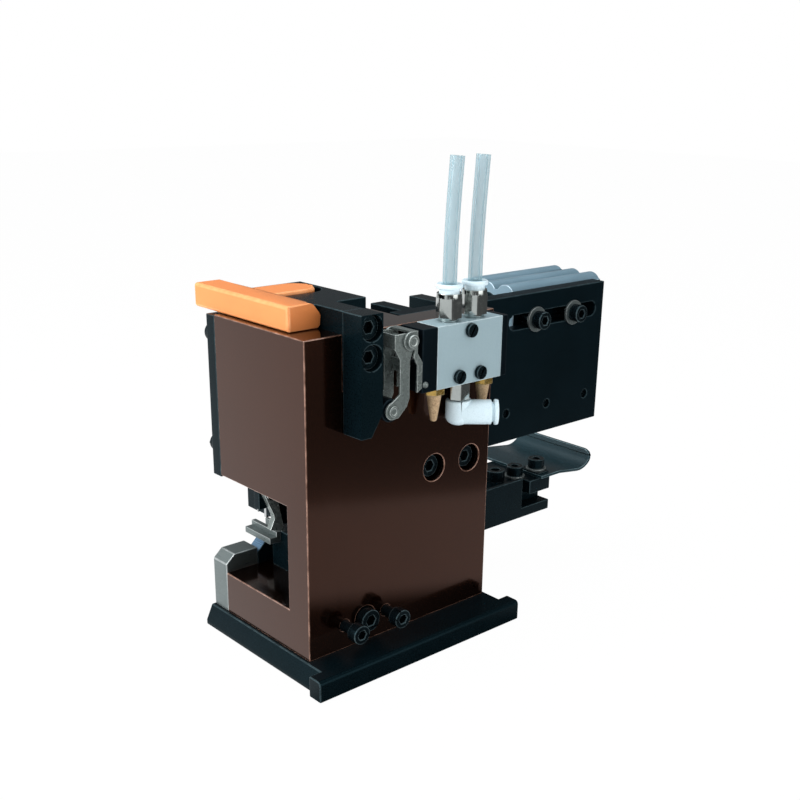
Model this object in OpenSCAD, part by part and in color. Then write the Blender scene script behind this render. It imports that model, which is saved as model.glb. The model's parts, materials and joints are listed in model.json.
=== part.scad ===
// Crimp applicator with a pneumatic strip feed.
// X runs along the strip, +Y points to the operator, +Z is up. The origin is the point
// where the crimp axis meets the underside of the base.
// Lengths are millimetres. Inside the modules x = 0 is the frame's left side and y = 0 its rear face.

/* [Base] */
// Thickness of the base plate
base_t = 9.5; // [8:0.5:12]
// Height of the vertical land under each side bevel
base_land = 2.4; // [1:0.1:4]
// Width of each side bevel
base_bevel = 3.3; // [2:0.1:5]
// Overhang of the plate's top edge past each side of the frame
base_side = 1.4; // [0.5:0.1:3]
// Length of the plate in front of the lower arm
base_front = 12; // [11.5:0.5:20]
// Length of the plate behind the frame
base_rear = 16.9; // [12:0.1:20]
// Width of the rear stop bar
bar_w = 7.6; // [5:0.1:10]
// Overhang of the stop bar past the frame's sides
bar_side = 7.4; // [6:0.1:10]

/* [Frame] */
// Width of the frame along the strip
frame_w = 103.6; // [96:0.2:110]
// Thickness of the rear wall
wall_t = 14; // [13:0.5:16]
// Height of the lower arm above the base
arm_h = 19.5; // [18:0.5:24]
// Distance from the rear face to the front of the lower arm
arm_l = 62; // [60:0.5:64]
// Height of the throat
throat_h = 47; // [46:0.5:52]
// Height of the head above the throat
head_h = 71.8; // [70:0.2:76]
// Width of the head
head_w = 60; // [56:0.5:62]
// Distance from the rear face to the front of the head
head_l = 63; // [62:0.2:64]
// Thickness of the front cover plate
cover_t = 6.2; // [4:0.1:8]

/* [Ram] */
// Width of the ram
ram_w = 30; // [28:0.5:32]
// Thickness of the guide behind the ram
guide_t = 17; // [16:0.5:19]
// Height of the ram's head above the frame
ram_rise = 9.2; // [9:0.1:12]
// Upward travel from the locked position
ram_stroke = 30; // [20:1:32]
// Width of the cam bar
cam_w = 11; // [10:0.2:12]
// Thickness of the cam bar
cam_t = 11.7; // [10:0.1:13]
// Length of the cam bar
cam_l = 50; // [46:1:54]
// Distance from the frame's left side to the cam bar
cam_x = 18.6; // [17:0.1:19]
// Depth of the punch stack in front of the ram
holder_t = 8; // [7:0.1:9]

/* [Transport lock] */
// Length of the cross bar
lock_l = 68.5; // [60:0.5:74]
// Width of the cross bar
lock_w = 12.2; // [10:0.1:12.4]
// Height of the lock
lock_h = 10.4; // [9.5:0.1:12]
// Width of the stem between the slot's lips
lock_neck = 18; // [14:0.5:20]
// Width of the stem's foot under the lips
lock_foot = 23; // [21:0.5:24]

/* [Feed] */
// Height of the feed track above the lower arm
track_h = 18.6; // [17:0.2:20]
// Distance from the frame's left side to the end of the feed track
track_end = 174; // [168:1:176]
// Thickness of the feed plate
plate_t = 8; // [6:0.5:9]
// Distance from the frame's left side to the feed plate's end
plate_end = 197.3; // [192:0.1:202]
// Width of the adjusting slot in the feed plate
slot_w = 7.2; // [6:0.1:8]
// Travel of the feed slide
feed_stroke = 25; // [10:1:25]
// Diameter of the cylinder's bore
bore_d = 20; // [16:0.5:21]
// Diameter of the piston rod
rod_d = 8; // [6:0.5:10]
// Length of the cylinder's body
cyl_l = 64; // [60:1:70]
// Thickness of the strip tray
tray_t = 1.5; // [1:0.1:2]

/* [Valve] */
// Length of the valve body
valve_l = 37.8; // [36:0.2:40]
// Depth of the valve body
valve_d = 13.3; // [12:0.1:14]
// Height of the valve body
valve_h = 26.6; // [25:0.2:28]
// Distance from the frame's left side to the valve body
valve_x = 57.7; // [57:0.1:59]
// Diameter of the roller
roller_d = 9.8; // [8:0.1:10]
// Outside diameter of the air tubes
tube_d = 6; // [4:0.5:6]

/* [Hidden] */

$fn = 48;
// Overshoot of a cut past the face that it opens
over = 1;
// Side clearance of flat slides
slide_gap = 0.15;
// Radial clearance of a shaft in its bore
run_gap = 0.05;
// Clearance of a seated part that moves
seat_gap = 0.3;
// Radial clearance of a screw in its hole
screw_gap = 0.15;

// Heights and faces that several parts share
axis_x = head_w / 2;
axis_back = 14;
axis_y = arm_l - axis_back;
arm_top = base_t + arm_h;
throat_top = arm_top + throat_h;
frame_top = throat_top + head_h;
ram_x0 = axis_x - ram_w / 2;
ram_x1 = axis_x + ram_w / 2;
ram_top = frame_top + ram_rise;
ram_front = head_l - seat_gap;

// Screw heads follow the thread size
function head_d(d) = 1.5 * d + 1;
function key_w(d) = 0.75 * d;
function polar(r, a) = [r * cos(a), r * sin(a)];

module place() { translate([-axis_x, -axis_y, 0]) children(); }
module block(lo, hi) { translate(lo) cube(hi - lo); }
// Profile in X and Z, drawn out along Y
module along_y(y0, y1) { translate([0, y1, 0]) rotate([90, 0, 0]) linear_extrude(y1 - y0) children(); }
// Profile in Y and Z, drawn out along X
module along_x(x0, x1) { translate([x0, 0, 0]) rotate([90, 0, 90]) linear_extrude(x1 - x0) children(); }
module face_back() { rotate([90, 0, 0]) children(); }
module face_front() { rotate([-90, 0, 0]) children(); }
module face_left() { rotate([0, -90, 0]) children(); }

// Socket-head screw with its seat at z = 0 and the head above
module cap_screw(d, l) {
  difference() {
    union() {
      cylinder(d = head_d(d), h = d);
      translate([0, 0, -l]) cylinder(d = d, h = l + d / 2);
    }
    translate([0, 0, 0.45 * d]) cylinder(d = key_w(d) / cos(30), h = d, $fn = 6);
  }
}
// Clearance hole of a screw, and its counterbore above the seat
module screw_hole(d, l, sink = 0, ease = 1.2) {
  translate([0, 0, -l]) cylinder(d = d + 2 * screw_gap, h = l + sink + over);
  if (sink > 0) cylinder(d = head_d(d) + ease, h = sink + over);
}
module washer(d, t, across) {
  difference() {
    cylinder(d = across, h = t);
    translate([0, 0, -over]) cylinder(d = d + 2 * screw_gap, h = t + 2 * over);
  }
}
module hexagon(across, h) { cylinder(d = across / cos(30), h = h, $fn = 6); }

// Base plate
base_x0 = -base_side;
base_x1 = frame_w + base_side;
base_y1 = arm_l + base_front;
bar_y1 = -base_rear + bar_w;
base_screw_d = 5;
base_screw_sink = base_screw_d + 0.5;
base_screw_at = [for (x = [12, frame_w - 12], y = [wall_t / 2, arm_l - 12]) [x, y]];
module base_plate() {
  color([0.09, 0.11, 0.13]) place() difference() {
    union() {
      along_y(bar_y1 - over, base_y1) polygon([
        [base_x0 - base_bevel, 0], [base_x0 - base_bevel, base_land], [base_x0, base_t],
        [base_x1, base_t], [base_x1 + base_bevel, base_land], [base_x1 + base_bevel, 0]]);
      along_x(-bar_side, frame_w + bar_side) polygon(concat(
        [[bar_y1, base_t], [bar_y1, 0], [-base_rear, 0]],
        [for (a = [180:-15:90]) [-base_rear + 2, base_t - 2] + polar(2, a)]));
    }
    for (p = base_screw_at)
      translate([p.x, p.y, base_screw_sink]) rotate([180, 0, 0])
        screw_hole(base_screw_d, base_t, base_screw_sink);
  }
}
module base_screws() {
  color([0.1, 0.1, 0.11]) place() for (p = base_screw_at)
    translate([p.x, p.y, base_screw_sink]) rotate([180, 0, 0]) cap_screw(base_screw_d, 14);
}

// C-shaped frame. The ram runs in a pocket of the head that is open to the front and the top,
// and its rear arm reaches the cam bar through a slot in the rear wall.
cover_screw_d = 5;
cover_inset = 6;
cover_z0 = throat_top - 0.8;
cover_z1 = frame_top - 0.5;
cover_screw_at = [for (x = [cover_inset, head_w - cover_inset], z = [cover_z0 + 12.8, cover_z1 - 9.3]) [x, z]];
front_screw_d = 4;
front_sink = front_screw_d + 0.5;
front_plate_w = axis_x - 13;
front_screw_at = [for (z = [base_t + 6.5, arm_top - 7]) [front_plate_w / 2, z]];
// Two long screws stand off the wall on either side of a thicker one
low_screw_d = 5;
low_stand = 7;
mid_screw_d = 6;
mid_sink = 2;
low_depth = 18;
low_screw_z = base_t + 11;
low_screw_at = [19, 42];
mid_screw_x = (low_screw_at[0] + low_screw_at[1]) / 2;
wall_screw_d = 6;
wall_sink = wall_screw_d + 3;
wall_ease = 2.4;
plate_z0 = throat_top + 1;
wall_screw_z = plate_z0 + 4.2;
wall_screw_at = [head_w + 9.7, frame_w - 12.3];
arm_x0 = cam_x + 0.4;
arm_x1 = cam_x + cam_w - 0.4;
arm_z0 = ram_top - 24;
arm_slot_z0 = arm_z0 - 8;
valve_z1 = frame_top;
valve_z0 = valve_z1 - valve_h;
valve_screw_d = 3.4;
valve_screw_at = [
  [valve_x + 18.5, valve_z1 - 3.7], [valve_x + 12.3, valve_z0 + 4], [valve_x + 24.6, valve_z0 + 4]];
track_z1 = arm_top + track_h;
track_y0 = wall_t + plate_t;
track_y1 = arm_l - 5;
track_x0 = 22;
track_bolt_d = 5;
track_bolt_sink = 7;
track_bolt_at = [[track_x0 + 26, track_y0 + 10], [frame_w - 10, track_y0 + 10]];
module c_frame() {
  color([0.27, 0.19, 0.16]) place() difference() {
    union() {
      block([0, 0, base_t], [frame_w, wall_t, frame_top]);
      block([0, 0, base_t], [frame_w, arm_l, arm_top]);
      block([0, 0, throat_top], [head_w, head_l, frame_top]);
    }
    block([ram_x0 - slide_gap, guide_t - slide_gap, throat_top - over],
      [ram_x1 + slide_gap, head_l + over, frame_top + over]);
    block([arm_x0 - slide_gap, -over, arm_slot_z0], [arm_x1 + slide_gap, guide_t, frame_top + over]);
    for (p = base_screw_at) translate([p.x, p.y, base_t]) screw_hole(base_screw_d, over, 11);
    for (p = cover_screw_at) translate([p.x, head_l, p.y]) face_front() screw_hole(cover_screw_d, 12);
    for (p = front_screw_at) translate([p.x, arm_l, p.y]) face_front() screw_hole(front_screw_d, 10);
    for (x = low_screw_at) translate([x, 0, low_screw_z]) face_back()
      screw_hole(low_screw_d, low_depth + 3);
    translate([mid_screw_x, mid_sink, low_screw_z]) face_back()
      screw_hole(mid_screw_d, low_depth + 3, mid_sink);
    for (x = wall_screw_at) translate([x, wall_sink, wall_screw_z]) face_back()
      screw_hole(wall_screw_d, wall_t, wall_sink, wall_ease);
    for (p = valve_screw_at) translate([p.x, 0, p.y]) face_back() screw_hole(valve_screw_d, 8);
    for (p = track_bolt_at) translate([p.x, p.y, arm_top]) screw_hole(track_bolt_d, 11);
  }
}

// Front cover of the ram guide: two legs beside the window in which the punch stack moves
holder_z1 = throat_top + 14;
window_x0 = ram_x0 - 0.6;
window_x1 = ram_x1 + 0.6;
window_z1 = holder_z1 + ram_stroke + 2;
module ram_cover() {
  color([0.16, 0.2, 0.23]) place() difference() {
    block([0, head_l, cover_z0], [head_w, head_l + cover_t, cover_z1]);
    block([window_x0, head_l - over, cover_z0 - over], [window_x1, head_l + cover_t + over, window_z1]);
    for (p = cover_screw_at) translate([p.x, head_l + cover_t, p.y]) face_front()
      screw_hole(cover_screw_d, cover_t + over);
  }
}
module front_screws() {
  color([0.12, 0.15, 0.17]) place() {
    for (p = cover_screw_at) translate([p.x, head_l + cover_t, p.y]) face_front()
      cap_screw(cover_screw_d, cover_t + 10);
    for (p = front_screw_at) translate([p.x, arm_l + front_plate_d - front_sink, p.y]) face_front()
      cap_screw(front_screw_d, front_plate_d + 3);
  }
}
module rear_screws() {
  color([0.08, 0.09, 0.1]) place() {
    for (x = low_screw_at) translate([x, -low_stand, low_screw_z]) face_back()
      cap_screw(low_screw_d, low_stand + low_depth);
    translate([mid_screw_x, mid_sink, low_screw_z]) face_back() cap_screw(mid_screw_d, low_depth);
    for (x = wall_screw_at) translate([x, wall_sink, wall_screw_z]) face_back()
      cap_screw(wall_screw_d, wall_t - wall_sink + plate_t - 1);
  }
}

// Crimp tooling on the lower arm
front_plate_d = base_front - 1;
front_plate_z1 = arm_top + 8;
module front_plate() {
  color([0.5, 0.55, 0.56]) place() difference() {
    along_y(arm_l, arm_l + front_plate_d) polygon([
      [0, base_t], [0, front_plate_z1 - 4], [4.5, front_plate_z1], [front_plate_w, front_plate_z1],
      [front_plate_w, base_t]]);
    for (p = front_screw_at) translate([p.x, arm_l + front_plate_d - front_sink, p.y]) face_front()
      screw_hole(front_screw_d, front_plate_d, front_sink);
  }
}
anvil_w = 2 * (axis_x - front_plate_w);
anvil_t = 7.5;
anvil_z1 = arm_top + 10.9;
anvil_cut_x = 5.8;
anvil_cut_z = 5.7;
anvil_slot_w = 6;
anvil_slot_z0 = arm_top - 4;
wire_anvil_z1 = track_z1 + 0.4;
nest_d = 3.2;
module anvil_block() {
  color([0.52, 0.58, 0.64]) place() difference() {
    translate([axis_x, 0, 0]) along_y(arm_l, arm_l + anvil_t) polygon([
      [-anvil_w / 2, base_t], [-anvil_w / 2, anvil_z1 - anvil_cut_z], [-anvil_w / 2 + anvil_cut_x, anvil_z1],
      [anvil_w / 2 - anvil_cut_x, anvil_z1], [anvil_w / 2, anvil_z1 - anvil_cut_z], [anvil_w / 2, base_t]]);
    block([axis_x - anvil_slot_w / 2, arm_l - over, anvil_slot_z0],
      [axis_x + anvil_slot_w / 2, arm_l + anvil_t + over, anvil_z1 + over]);
  }
}
module crimp_anvil(y0, y1, z1) {
  place() difference() {
    block([axis_x - anvil_slot_w / 2, y0, anvil_slot_z0], [axis_x + anvil_slot_w / 2, y1, z1]);
    translate([axis_x, y0 - over, z1 + 0.4]) face_front() cylinder(d = nest_d, h = y1 - y0 + 2 * over);
  }
}
// The two anvils meet under the joint of the two punches
module wire_anvil() {
  color([0.66, 0.68, 0.7]) crimp_anvil(arm_l, holder_y1 - punch_t - 0.1, wire_anvil_z1);
}
module insulation_anvil() {
  color([0.62, 0.64, 0.66]) crimp_anvil(holder_y1 - punch_t, arm_l + anvil_t, wire_anvil_z1 - 1.2);
}
// Stepped rail on the end of the feed track, reaching out over the front plate
ledge_y0 = track_y1 - 7;
ledge_l = 20;
ledge_w = 6;
ledge_z1 = track_z1 - 2.3;
ledge_z0 = ledge_z1 - 2.9;
ledge_wall = 2.4;
module guide_rail() {
  color([0.5, 0.54, 0.55]) place() along_y(ledge_y0, ledge_y0 + ledge_l) polygon([
    [track_x0 - ledge_w, ledge_z0], [track_x0 - ledge_w, ledge_z1], [track_x0 - ledge_wall, ledge_z1],
    [track_x0 - ledge_wall, track_z1], [track_x0, track_z1], [track_x0, ledge_z0]]);
}

// Ram with its rear arm, slotted head and stepped lower end
boss_y0 = axis_y - 1.5;
boss_z0 = arm_top + 28;
ram_z0 = throat_top + 2;
shim_t = 0.8;
boss_y1 = axis_y + 9.2;
holder_y0 = boss_y1 + shim_t;
holder_y1 = holder_y0 + holder_t;
slot_z0 = frame_top + 0.4;
lip_z0 = ram_top - 5;
lock_tip = ram_x1 - 5.5;
lock_slot_tip = lock_tip + 3.2;
cam_y0 = -seat_gap - cam_t;
cam_z0 = ram_top - cam_l;
cam_screw_d = 6;
cam_sink = cam_screw_d + 2.5;
cam_ease = 0.6;
cam_screw_at = [ram_top - 5.5, ram_top - 17.3];
holder_screw_d = 4;
holder_sink = holder_screw_d + 0.4;
holder_screw_at = [ram_x0 + 5, ram_x1 - 5];
holder_screw_z = throat_top - 1;
pusher_y0 = axis_y + 2.8;
pusher_t = 1.6;
pusher_l = 9;
pusher_z1 = boss_z0 + 5.2;
// Bar with a round end at its tip, grown by a gap where it is cut out as a slot
module lock_stem(w, x0, tip, z0, z1, gap = 0) {
  r = w / 2 + gap;
  translate([0, axis_y, z0]) linear_extrude(z1 - z0) polygon(concat(
    [[x0, r], [x0, -r]], [for (a = [-90:7.5:90]) [tip - w / 2, 0] + polar(r, a)]));
}
module ram() {
  color([0.14, 0.18, 0.2]) place() difference() {
    union() {
      block([ram_x0, guide_t, ram_z0], [ram_x1, boss_y1, holder_z1 + over]);
      block([ram_x0, guide_t, holder_z1 + 0.5], [ram_x1, ram_front, ram_top]);
      block([ram_x0, boss_y0, boss_z0], [ram_x1, boss_y1, ram_z0 + over]);
      block([arm_x0, -seat_gap, arm_z0], [arm_x1, guide_t + over, ram_top]);
    }
    lock_stem(lock_neck, ram_x0 - over, lock_slot_tip, lip_z0 - over, ram_top + over, seat_gap);
    lock_stem(lock_foot, ram_x0 - over, lock_slot_tip, slot_z0, lip_z0, seat_gap);
    for (z = cam_screw_at) translate([cam_x + cam_w / 2, -seat_gap, z]) face_back()
      screw_hole(cam_screw_d, 13);
    for (x = holder_screw_at) translate([x, boss_y1, holder_screw_z]) face_front()
      screw_hole(holder_screw_d, 9);
    block([ram_x0 - over, pusher_y0, boss_z0 - over], [ram_x0 + pusher_l, pusher_y0 + pusher_t, pusher_z1]);
  }
}
// Bar that works the valve's roller, with a run-on ramp at its lower end
module cam_bar() {
  color([0.07, 0.08, 0.1]) place() difference() {
    along_y(cam_y0, -seat_gap) polygon([
      [cam_x, cam_z0], [cam_x, ram_top], [cam_x + cam_w, ram_top], [cam_x + cam_w, cam_z0 + 9],
      [cam_x + cam_w - 5.6, cam_z0]]);
    for (z = cam_screw_at) translate([cam_x + cam_w / 2, cam_y0 + cam_sink, z]) face_back()
      screw_hole(cam_screw_d, cam_t, cam_sink, cam_ease);
  }
}
module cam_bar_screws() {
  color([0.06, 0.07, 0.08]) place() for (z = cam_screw_at)
    translate([cam_x + cam_w / 2, cam_y0 + cam_sink, z]) face_back()
      cap_screw(cam_screw_d, cam_t - cam_sink + 10);
}
module punch_shim() {
  color([0.7, 0.72, 0.74]) place() difference() {
    block([ram_x0, boss_y1, boss_z0 - 0.4], [ram_x1, boss_y1 + shim_t, holder_z1]);
    for (x = holder_screw_at) translate([x, holder_y0, holder_screw_z]) face_front()
      screw_hole(holder_screw_d, 3);
  }
}
punch_w = 10;
punch_t = 2;
holder_z0 = boss_z0 - 0.5;
punch_z1 = holder_z1 - 6;
module punch_holder() {
  color([0.17, 0.22, 0.25]) place() difference() {
    block([ram_x0 + 0.5, holder_y0, holder_z0], [ram_x1 - 0.5, holder_y1, holder_z1]);
    block([axis_x - punch_w / 2, holder_y1 - 2 * punch_t, holder_z0 - over],
      [axis_x + punch_w / 2, holder_y1 + over, punch_z1]);
    for (x = holder_screw_at) translate([x, holder_y1 - holder_sink, holder_screw_z]) face_front()
      screw_hole(holder_screw_d, holder_t, holder_sink);
  }
}
// Punch blade with a rounded crimping arch at its lower end
module crimp_punch(y0, z0, arch) {
  place() difference() {
    block([axis_x - punch_w / 2, y0, z0], [axis_x + punch_w / 2, y0 + punch_t, punch_z1]);
    block([axis_x - arch / 2, y0 - over, z0 - over], [axis_x + arch / 2, y0 + punch_t + over, z0 + 5]);
    translate([axis_x, y0 - over, z0 + 5]) face_front() cylinder(d = arch, h = punch_t + 2 * over);
  }
}
module wire_punch() { color([0.68, 0.7, 0.72]) crimp_punch(holder_y1 - 2 * punch_t, holder_z0 - 2, 3.4); }
module insulation_punch() { color([0.64, 0.66, 0.68]) crimp_punch(holder_y1 - punch_t, holder_z0 - 1, 4.2); }
module holder_screws() {
  color([0.1, 0.11, 0.12]) place() for (x = holder_screw_at)
    translate([x, holder_y1 - holder_sink, holder_screw_z]) face_front()
      cap_screw(holder_screw_d, holder_t - holder_sink + shim_t + 7);
}
// Blade on the ram that presses the strip's carrier down on the rail
module shear_pusher() {
  color([0.8, 0.82, 0.84]) place()
    block([ram_x0 - 0.1, pusher_y0, boss_z0 - 1.2], [ram_x0 + pusher_l, pusher_y0 + pusher_t, pusher_z1]);
}

// Removable lock: its foot sits under the slot's lips and its cross bar rests on the frame
// and, behind the ram, a bevelled nose at the end of the bar keeps it from turning
lock_z0 = frame_top + 0.2;
lock_z1 = lock_z0 + lock_h;
lock_x1 = ram_x0 - 0.2;
nose_t = 2.95;
nose_x1 = arm_x0 - seat_gap;
lock_y0 = guide_t - seat_gap - nose_t;
module transport_lock() {
  color([0.95, 0.55, 0.25]) place() {
    block([lock_x1 - lock_w, lock_y0, lock_z0], [lock_x1, lock_y0 + lock_l, lock_z1]);
    along_y(lock_y0, lock_y0 + nose_t) polygon([
      [lock_x1 - over, lock_z0], [lock_x1 - over, lock_z1], [lock_x1, lock_z1],
      [nose_x1, lock_z0 + 0.55 * lock_h], [nose_x1, lock_z0 + 1.2], [nose_x1 - 1, lock_z0]]);
    lock_stem(lock_neck, lock_x1 - over, lock_tip, slot_z0 + seat_gap, lock_z1 - 0.01);
    lock_stem(lock_foot, lock_x1 - over, lock_tip, slot_z0 + seat_gap, lip_z0 - seat_gap);
  }
}

// Feed track on the lower arm, with a low fence along its rear edge and a clamping slot near its outer end
pocket_x0 = track_end - 20.8;
pocket_w = 5.5;
pocket_y1 = track_y0 + 7.4;
tongue_h = 5.2;
gap_h = 6.2;
fence_x0 = frame_w + 6;
fence_t = 2.2;
fence_h = 2.7;
washer_t = 1;
clamp_t = 0.8;
tray_z1 = track_z1 + tray_t;
// Each table screw: place and height of its seat, thread, and depth below the track's top
table_screw_at = [
  [track_end - 28, track_y0 + 13, track_z1],
  [track_end - 15.8, track_y0 + 10.6, track_z1 + washer_t],
  [track_end - 3.2, track_y0 + 7.3, tray_z1 + clamp_t + washer_t]];
table_screw_d = [6, 5, 5];
table_screw_depth = [10, 10, 5.5];
module feed_track() {
  color([0.13, 0.17, 0.2]) place() difference() {
    union() {
      block([track_x0, track_y0, arm_top], [track_end, track_y1, track_z1]);
      block([fence_x0, track_y0, track_z1 - over], [pocket_x0, track_y0 + fence_t, track_z1 + fence_h]);
    }
    block([pocket_x0, track_y0 - over, arm_top + tongue_h],
      [pocket_x0 + pocket_w, pocket_y1, track_z1 + over]);
    block([pocket_x0, track_y0 - over, arm_top + tongue_h],
      [track_end + over, pocket_y1, arm_top + tongue_h + gap_h]);
    for (i = [0:2]) translate(table_screw_at[i])
      screw_hole(table_screw_d[i], table_screw_at[i].z - track_z1 + table_screw_depth[i] + 0.6);
    for (p = track_bolt_at) translate([p.x, p.y, track_z1 - track_bolt_sink])
      screw_hole(track_bolt_d, track_h, track_bolt_sink);
  }
}
module table_screws() {
  color([0.09, 0.11, 0.12]) place() {
    for (i = [0:2]) translate(table_screw_at[i])
      cap_screw(table_screw_d[i], table_screw_at[i].z - track_z1 + table_screw_depth[i]);
    for (p = track_bolt_at) translate([p.x, p.y, track_z1 - track_bolt_sink])
      cap_screw(track_bolt_d, track_h - track_bolt_sink + 10);
  }
}
// Sheet that guides the strip in: flat on the track, then sloping down and curled up to a lip
tray_x0 = track_end - 8;
tray_y0 = track_y0 - 1.5;
tray_y1 = track_y1 + 15.5;
slope_x0 = track_end + 6;
slope_l = 14;
slope_angle = 8;
curl_r = 12;
curl_angle = 75;
tray_corner = 6;
curl_at = [slope_x0 + slope_l + curl_r * sin(slope_angle),
  track_z1 - slope_l * tan(slope_angle) + curl_r * cos(slope_angle)];
curl_turn = curl_angle + slope_angle;
tray_tip = curl_at + polar(curl_r, curl_angle - 90);
module strip_tray() {
  color([0.2, 0.26, 0.29]) place() difference() {
    intersection() {
      along_y(tray_y0, tray_y1) polygon(concat(
        [[slope_x0, tray_z1], [tray_x0, tray_z1], [tray_x0, track_z1], [slope_x0, track_z1]],
        [for (a = [0:curl_turn / 8:curl_turn]) curl_at + polar(curl_r, a - slope_angle - 90)],
        [for (a = [curl_turn:-curl_turn / 8:0]) curl_at + polar(curl_r - tray_t, a - slope_angle - 90)]));
      along_x(tray_x0 - over, tray_tip.x + over) polygon(concat(
        [[tray_y1, arm_top], [tray_y0, arm_top]],
        [for (a = [180:-15:90]) [tray_y0 + tray_corner, tray_tip.y - tray_corner] + polar(tray_corner, a)],
        [for (a = [90:-15:0]) [tray_y1 - tray_corner, tray_tip.y - tray_corner] + polar(tray_corner, a)]));
    }
    translate(table_screw_at[2]) screw_hole(table_screw_d[2], clamp_t + 2 * tray_t + 2 * washer_t);
  }
}
// Thin plate that spreads the tray screw's grip
clamp_w = 13;
module clamp_bar() {
  color([0.1, 0.13, 0.15]) place() difference() {
    block([table_screw_at[2].x - 4.6, table_screw_at[2].y - clamp_w / 2, tray_z1],
      [track_end - 0.2, table_screw_at[2].y + clamp_w / 2, tray_z1 + clamp_t]);
    translate(table_screw_at[2]) screw_hole(table_screw_d[2], clamp_t + 2 * washer_t);
  }
}

// Feed plate on the rear wall; its foot carries the stop screw of the feed slide
plate_x0 = head_w + 2;
plate_y0 = wall_t;
plate_y1 = wall_t + plate_t;
foot_x0 = head_w + 8;
foot_d = 20;
foot_h = 32;
cyl_z = frame_top - 12.8;
slot_x0 = plate_end - 68.3;
slot_x1 = plate_end - 5.7;
slot_screw_d = 5;
slot_washer_t = 1.2;
cyl_x0 = plate_end - 57.3;
slot_screw_at = [cyl_x0 + 7.2, cyl_x0 + 33.8];
rail_z = plate_z0 + 14.2;
rail_screw_d = 4;
rail_step = 28.8;
rail_screw_at = [for (i = [0:3]) plate_end - 96.4 + i * rail_step];
stop_y = plate_y1 + 6;
stop_z = frame_top - 10.5;
stop_d = 6;
stop_head_d = 8;
stop_nut = 10;
module feed_plate() {
  color([0.05, 0.08, 0.1]) place() difference() {
    union() {
      block([plate_x0, plate_y0, plate_z0], [plate_end, plate_y1, frame_top]);
      block([foot_x0, plate_y0, frame_top - foot_h], [foot_x0 + plate_t, plate_y1 + foot_d, frame_top]);
    }
    for (x = [slot_x0 + slot_w / 2, slot_x1 - slot_w / 2])
      translate([x, plate_y0 - over, cyl_z]) face_front() cylinder(d = slot_w, h = plate_t + 2 * over);
    block([slot_x0 + slot_w / 2, plate_y0 - over, cyl_z - slot_w / 2],
      [slot_x1 - slot_w / 2, plate_y1 + over, cyl_z + slot_w / 2]);
    for (x = wall_screw_at) translate([x, plate_y0, wall_screw_z]) face_back()
      screw_hole(wall_screw_d, plate_t + over);
    for (x = rail_screw_at) translate([x, plate_y1, rail_z]) face_front()
      screw_hole(rail_screw_d, plate_t + over);
    translate([foot_x0 + plate_t, stop_y, stop_z]) rotate([0, 90, 0]) screw_hole(stop_d, plate_t + over);
  }
}
module slot_screws() {
  color([0.07, 0.09, 0.1]) place() for (x = slot_screw_at)
    translate([x, plate_y0 - slot_washer_t, cyl_z]) face_back()
      cap_screw(slot_screw_d, slot_washer_t + plate_t + 5.5);
}
module washers() {
  color([0.42, 0.48, 0.5]) place() {
    for (x = slot_screw_at) translate([x, plate_y0, cyl_z]) face_back()
      washer(slot_screw_d, slot_washer_t, 2.4 * slot_screw_d);
    for (i = [1:2]) translate(table_screw_at[i] - [0, 0, washer_t])
      washer(table_screw_d[i], washer_t, 2.1 * table_screw_d[i]);
  }
}
drive_clear = 18.5;
drive_x0 = cyl_x0 - feed_stroke - drive_clear;
drive_t = 8;
module stop_screw() {
  color([0.6, 0.62, 0.6]) place() {
    translate([foot_x0 - 6, stop_y, stop_z]) rotate([0, 90, 0])
      cylinder(d = stop_d, h = drive_x0 - foot_x0 + 3);
    translate([foot_x0 + plate_t, stop_y, stop_z]) rotate([0, 90, 0]) hexagon(stop_nut, 5);
    translate([drive_x0 - 6.2, stop_y, stop_z]) rotate([0, 90, 0]) cylinder(d = stop_head_d, h = 6);
  }
}
// Linear rail behind the feed plate
rail_h = 10;
rail_t = 7;
rail_sink = rail_screw_d + 0.3;
module feed_rail() {
  color([0.55, 0.57, 0.58]) place() difference() {
    block([foot_x0 + 12, plate_y1, rail_z - rail_h / 2],
      [plate_end - 1, plate_y1 + rail_t, rail_z + rail_h / 2]);
    for (x = rail_screw_at) translate([x, plate_y1 + rail_t - rail_sink, rail_z]) face_front()
      screw_hole(rail_screw_d, rail_t, rail_sink);
  }
}
module rail_screws() {
  color([0.2, 0.21, 0.22]) place() for (x = rail_screw_at)
    translate([x, plate_y1 + rail_t - rail_sink, rail_z]) face_front()
      cap_screw(rail_screw_d, rail_t - rail_sink + plate_t - 2);
}

// Air cylinder: an extruded body with rounded ribs above and below, clamped in the slot
cyl_x1 = cyl_x0 + cyl_l;
rib_r = 6;
rib_step = 12;
cyl_d = 3 * rib_step;
cyl_y = plate_y1 + cyl_d / 2;
cyl_flat = 24;
rib_z = 9;
port_at = [cyl_x0 + 8, cyl_x1 - 8];
port_d = 5;
port_h = 10;
module cylinder_body() {
  color([0.55, 0.66, 0.72]) place() difference() {
    along_x(cyl_x0, cyl_x1) translate([cyl_y, cyl_z]) union() {
      square([cyl_d, cyl_flat], center = true);
      for (i = [-1:1], s = [-1, 1]) translate([i * rib_step, s * rib_z]) circle(r = rib_r);
    }
    translate([cyl_x0 - over, cyl_y, cyl_z]) rotate([0, 90, 0]) cylinder(d = bore_d, h = cyl_l + 2 * over);
    for (x = slot_screw_at) translate([x, plate_y1, cyl_z]) face_back() screw_hole(slot_screw_d, 6);
    for (x = port_at) translate([x, cyl_y, cyl_z]) face_front() cylinder(d = port_d, h = cyl_d);
  }
}
bush_l = 6;
cover_l = 4;
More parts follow.
